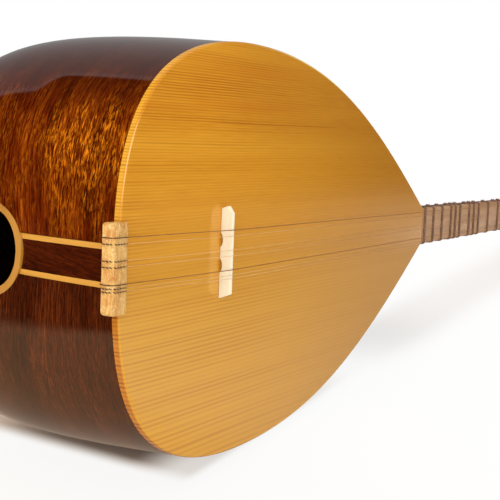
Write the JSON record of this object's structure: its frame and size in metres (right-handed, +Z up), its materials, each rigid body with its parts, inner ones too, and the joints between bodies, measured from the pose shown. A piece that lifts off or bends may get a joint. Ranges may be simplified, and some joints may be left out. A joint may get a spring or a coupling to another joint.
{
  "type": "long-neck baglama",
  "caption": "Long-neck lute with a deep ribbed bowl, flat soundboard, tail sound hole, floating bridge, tied frets and turning pegs.",
  "frame": {"origin": "bottom centre of the bounding box, on the surface that the instrument lies on", "axes": "+X from the tail to the head, +Z up, and the soundboard faces -Y. The instrument lies on its side, on the bowl's lower flank and on the end of the head, so its own long axis slopes down towards +X by 7.1 degrees and its soundboard leans back by 2 degrees."},
  "size_m": [1.1498, 0.2248, 0.2669],
  "materials": {
    "inside_wood": "bare planed wood",
    "bridge": "bare sanded maple",
    "frets": "tied nylon line",
    "head": "stained hardwood, satin lacquer",
    "neck": "oiled hardwood, satin",
    "nut": "bone, sanded",
    "pegs": "dark hardwood, polished",
    "sound_hole_ring": "pale wood under clear gloss lacquer",
    "soundboard": "lacquered spruce, satin gloss",
    "bowl": "figured mahogany under clear gloss lacquer",
    "wound_strings": "steel wound with bronze, tarnished",
    "plain_strings": "bare drawn steel",
    "string_block": "bare sanded boxwood",
    "stripes": "pale wood under clear gloss lacquer",
    "tail_strip": "mahogany under clear gloss lacquer"
  },
  "bodies": {
    "instrument": {"brace_neck": "inside_wood", "brace_tail": "inside_wood", "head": "head", "neck": "neck", "neck_block": "inside_wood", "nut": "nut", "sound_hole_ring": "sound_hole_ring", "soundboard": "soundboard", "stave_back": "bowl", "stave_lower_1": "bowl", "stave_lower_2": "bowl", "stave_lower_3": "bowl", "stave_lower_4": "bowl", "stave_upper_1": "bowl", "stave_upper_2": "bowl", "stave_upper_3": "bowl", "stave_upper_4": "bowl", "string_1": "wound_strings", "string_2": "plain_strings", "string_3": "plain_strings", "string_4": "plain_strings", "string_5": "wound_strings", "string_6": "plain_strings", "string_7": "plain_strings", "string_block": "string_block", "stripe_lower": "stripes", "stripe_upper": "stripes", "tail_block": "inside_wood", "tail_strip": "tail_strip"},
    "peg_front_1_body": {"peg_front_1": "pegs"},
    "peg_front_2_body": {"peg_front_2": "pegs"},
    "peg_front_3_body": {"peg_front_3": "pegs"},
    "peg_front_4_body": {"peg_front_4": "pegs"},
    "peg_side_1_body": {"peg_side_1": "pegs"},
    "peg_side_2_body": {"peg_side_2": "pegs"},
    "peg_side_3_body": {"peg_side_3": "pegs"},
    "bridge_body": {"bridge": "bridge"},
    "fret_01_body": {"fret_01": "frets"},
    "fret_02_body": {"fret_02": "frets"},
    "fret_03_body": {"fret_03": "frets"},
    "fret_04_body": {"fret_04": "frets"},
    "fret_05_body": {"fret_05": "frets"},
    "fret_06_body": {"fret_06": "frets"},
    "fret_07_body": {"fret_07": "frets"},
    "fret_08_body": {"fret_08": "frets"},
    "fret_09_body": {"fret_09": "frets"},
    "fret_10_body": {"fret_10": "frets"},
    "fret_11_body": {"fret_11": "frets"},
    "fret_12_body": {"fret_12": "frets"},
    "fret_13_body": {"fret_13": "frets"},
    "fret_14_body": {"fret_14": "frets"},
    "fret_15_body": {"fret_15": "frets"},
    "fret_16_body": {"fret_16": "frets"},
    "fret_17_body": {"fret_17": "frets"},
    "fret_18_body": {"fret_18": "frets"},
    "fret_19_body": {"fret_19": "frets"},
    "fret_20_body": {"fret_20": "frets"},
    "fret_21_body": {"fret_21": "frets"},
    "fret_22_body": {"fret_22": "frets"},
    "fret_23_body": {"fret_23": "frets"}
  },
  "joints": [
    {"name": "peg_front_1_turn", "type": "hinge", "parent": "instrument", "child": "peg_front_1_body", "pos_m": [0.42893, -0.07463, 0.0286], "axis": [0.1424, -0.9897, 0.017], "continuous": true},
    {"name": "peg_front_2_turn", "type": "hinge", "parent": "instrument", "child": "peg_front_2_body", "pos_m": [0.46035, -0.07018, 0.02451], "axis": [0.1424, -0.9897, 0.017], "continuous": true},
    {"name": "peg_front_3_turn", "type": "hinge", "parent": "instrument", "child": "peg_front_3_body", "pos_m": [0.49178, -0.06573, 0.02043], "axis": [0.1424, -0.9897, 0.017], "continuous": true},
    {"name": "peg_front_4_turn", "type": "hinge", "parent": "instrument", "child": "peg_front_4_body", "pos_m": [0.5232, -0.06128, 0.01634], "axis": [0.1424, -0.9897, 0.017], "continuous": true},
    {"name": "peg_side_1_turn", "type": "hinge", "parent": "instrument", "child": "peg_side_1_body", "pos_m": [0.44487, -0.06065, 0.04115], "axis": [0.1239, 0.0349, 0.9917], "continuous": true},
    {"name": "peg_side_2_turn", "type": "hinge", "parent": "instrument", "child": "peg_side_2_body", "pos_m": [0.47625, -0.05685, 0.03606], "axis": [0.1239, 0.0349, 0.9917], "continuous": true},
    {"name": "peg_side_3_turn", "type": "hinge", "parent": "instrument", "child": "peg_side_3_body", "pos_m": [0.50764, -0.05304, 0.03097], "axis": [0.1239, 0.0349, 0.9917], "continuous": true},
    {"name": "bridge_shift", "type": "slide", "parent": "instrument", "child": "bridge_body", "axis": [0.9923, 0, -0.124], "range_m": [-0.003, 0.005]},
    {"name": "fret_01_shift", "type": "slide", "parent": "instrument", "child": "fret_01_body", "axis": [0.9923, 0, -0.124], "range_m": [-0.002, 0.002]},
    {"name": "fret_02_shift", "type": "slide", "parent": "instrument", "child": "fret_02_body", "axis": [0.9923, 0, -0.124], "range_m": [-0.002, 0.002]},
    {"name": "fret_03_shift", "type": "slide", "parent": "instrument", "child": "fret_03_body", "axis": [0.9923, 0, -0.124], "range_m": [-0.002, 0.002]},
    {"name": "fret_04_shift", "type": "slide", "parent": "instrument", "child": "fret_04_body", "axis": [0.9923, 0, -0.124], "range_m": [-0.002, 0.002]},
    {"name": "fret_05_shift", "type": "slide", "parent": "instrument", "child": "fret_05_body", "axis": [0.9923, 0, -0.124], "range_m": [-0.002, 0.002]},
    {"name": "fret_06_shift", "type": "slide", "parent": "instrument", "child": "fret_06_body", "axis": [0.9923, 0, -0.124], "range_m": [-0.002, 0.002]},
    {"name": "fret_07_shift", "type": "slide", "parent": "instrument", "child": "fret_07_body", "axis": [0.9923, 0, -0.124], "range_m": [-0.002, 0.002]},
    {"name": "fret_08_shift", "type": "slide", "parent": "instrument", "child": "fret_08_body", "axis": [0.9923, 0, -0.124], "range_m": [-0.002, 0.002]},
    {"name": "fret_09_shift", "type": "slide", "parent": "instrument", "child": "fret_09_body", "axis": [0.9923, 0, -0.124], "range_m": [-0.002, 0.002]},
    {"name": "fret_10_shift", "type": "slide", "parent": "instrument", "child": "fret_10_body", "axis": [0.9923, 0, -0.124], "range_m": [-0.002, 0.002]},
    {"name": "fret_11_shift", "type": "slide", "parent": "instrument", "child": "fret_11_body", "axis": [0.9923, 0, -0.124], "range_m": [-0.002, 0.002]},
    {"name": "fret_12_shift", "type": "slide", "parent": "instrument", "child": "fret_12_body", "axis": [0.9923, 0, -0.124], "range_m": [-0.002, 0.002]},
    {"name": "fret_13_shift", "type": "slide", "parent": "instrument", "child": "fret_13_body", "axis": [0.9923, 0, -0.124], "range_m": [-0.002, 0.002]},
    {"name": "fret_14_shift", "type": "slide", "parent": "instrument", "child": "fret_14_body", "axis": [0.9923, 0, -0.124], "range_m": [-0.002, 0.002]},
    {"name": "fret_15_shift", "type": "slide", "parent": "instrument", "child": "fret_15_body", "axis": [0.9923, 0, -0.124], "range_m": [-0.002, 0.002]},
    {"name": "fret_16_shift", "type": "slide", "parent": "instrument", "child": "fret_16_body", "axis": [0.9923, 0, -0.124], "range_m": [-0.002, 0.002]},
    {"name": "fret_17_shift", "type": "slide", "parent": "instrument", "child": "fret_17_body", "axis": [0.9923, 0, -0.124], "range_m": [-0.002, 0.002]},
    {"name": "fret_18_shift", "type": "slide", "parent": "instrument", "child": "fret_18_body", "axis": [0.9923, 0, -0.124], "range_m": [-0.002, 0.002]},
    {"name": "fret_19_shift", "type": "slide", "parent": "instrument", "child": "fret_19_body", "axis": [0.9923, 0, -0.124], "range_m": [-0.002, 0.002]},
    {"name": "fret_20_shift", "type": "slide", "parent": "instrument", "child": "fret_20_body", "axis": [0.9923, 0, -0.124], "range_m": [-0.002, 0.002]},
    {"name": "fret_21_shift", "type": "slide", "parent": "instrument", "child": "fret_21_body", "axis": [0.9923, 0, -0.124], "range_m": [0, 0.002]},
    {"name": "fret_22_shift", "type": "slide", "parent": "instrument", "child": "fret_22_body", "axis": [0.9923, 0, -0.124], "range_m": [0, 0.002]},
    {"name": "fret_23_shift", "type": "slide", "parent": "instrument", "child": "fret_23_body", "axis": [0.9923, 0, -0.124], "range_m": [0, 0.002]}
  ]
}
